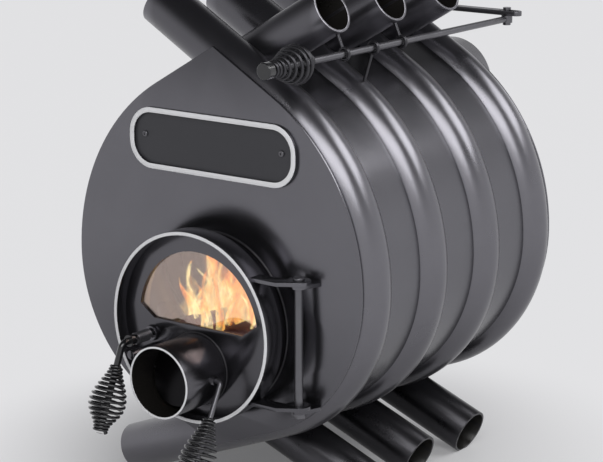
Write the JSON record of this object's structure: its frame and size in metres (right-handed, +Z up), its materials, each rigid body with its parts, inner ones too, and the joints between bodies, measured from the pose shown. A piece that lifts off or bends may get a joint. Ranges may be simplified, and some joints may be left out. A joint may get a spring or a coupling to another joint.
{
  "type": "convection wood stove",
  "caption": "Free-standing wood stove made of bent air tubes round a closed firebox, with a round glazed door, a door air damper, a latch and a rod-worked flue damper.",
  "frame": {"origin": "on the floor, under the middle of the stove's overall box", "axes": "+X across the stove to the hinge side, +Y from the door to the flue, +Z up"},
  "size_m": [0.4369, 0.6398, 0.6045],
  "materials": {
    "stove_paint": "satin graphite heat-proof paint",
    "firebox_steel": "scaled dark steel",
    "plain_steel": "satin dark steel",
    "black_enamel": "gloss black",
    "stove_glass": "clear ceramic glass with a warm cast",
    "seal_rope": "woven heat-proof rope",
    "bright_rim": "pale brushed rim",
    "name_field": "dark field"
  },
  "bodies": {
    "stove": {"convection_tube_1": "stove_paint", "convection_tube_2": "stove_paint", "convection_tube_3": "stove_paint", "convection_tube_4": "stove_paint", "convection_tube_5": "stove_paint", "convection_tube_6": "stove_paint", "convection_tube_7": "stove_paint", "infill_strip_1": "stove_paint", "infill_strip_2": "stove_paint", "infill_strip_3": "stove_paint", "infill_strip_4": "stove_paint", "infill_strip_5": "stove_paint", "infill_strip_6": "stove_paint", "infill_strip_7": "stove_paint", "front_plate": "stove_paint", "rear_plate": "stove_paint", "door_collar": "stove_paint", "flue_spigot": "stove_paint", "damper_bush": "stove_paint", "baffle_rails": "firebox_steel", "baffle_plate": "firebox_steel", "injector_nozzles": "firebox_steel", "name_plate": "name_field", "name_plate_rim": "bright_rim", "name_plate_screws": "plain_steel", "standing_eyelet": "stove_paint", "hanging_eyelets": "stove_paint", "latch_keeper": "firebox_steel", "hinge_lugs": "stove_paint", "hinge_pin": "plain_steel", "hinge_nut": "plain_steel"},
    "door": {"door_plate": "stove_paint", "door_rim": "stove_paint", "door_straps": "stove_paint", "seal_ring": "stove_paint", "seal_rope": "seal_rope", "door_glass": "stove_glass", "glass_frame": "stove_paint", "glass_screws": "plain_steel", "glass_spacers": "plain_steel", "air_inlet": "stove_paint", "ember_shield": "firebox_steel", "latch_bush": "stove_paint", "latch_stop": "stove_paint"},
    "latch": {"latch_handle": "black_enamel", "latch_grip": "black_enamel", "latch_spring": "plain_steel", "latch_cam": "firebox_steel"},
    "butterfly": {"butterfly_disc": "firebox_steel", "air_handle": "black_enamel", "air_grip": "black_enamel"},
    "flue_damper": {"flue_damper_disc": "firebox_steel", "flue_damper_spindle": "firebox_steel", "flue_damper_bolts": "firebox_steel", "damper_lever": "plain_steel", "lever_nut": "plain_steel"},
    "control_rod": {"control_rod": "plain_steel", "rod_grip": "black_enamel", "rod_cap": "black_enamel", "link_pin": "plain_steel"}
  },
  "joints": [
    {"name": "door_hinge", "type": "hinge", "parent": "stove", "child": "door", "pos_m": [0.1355, -0.20713, 0.22124], "axis": [0, 0, 1], "range_deg": [0, 110]},
    {"name": "latch_turn", "type": "hinge", "parent": "door", "child": "latch", "pos_m": [-0.069, -0.24713, 0.20024], "axis": [0, 1, 0], "range_deg": [0, 65]},
    {"name": "butterfly_turn", "type": "hinge", "parent": "door", "child": "butterfly", "pos_m": [0, -0.24413, 0.17024], "axis": [-1, 0, 0], "range_deg": [-20, 70]},
    {"name": "rod_slide", "type": "slide", "parent": "stove", "child": "control_rod", "axis": [0, -1, 0], "range_m": [-0.054, 0.054]},
    {"name": "flue_damper_turn", "type": "hinge", "parent": "stove", "child": "flue_damper", "pos_m": [0, 0.25587, 0.47724], "axis": [0, 0, 1], "range_deg": [-25.1, 25.1]}
  ],
  "couplings": [
    {"joint": "flue_damper_turn", "follows": "rod_slide", "rad_per_m": -8.0645}
  ]
}
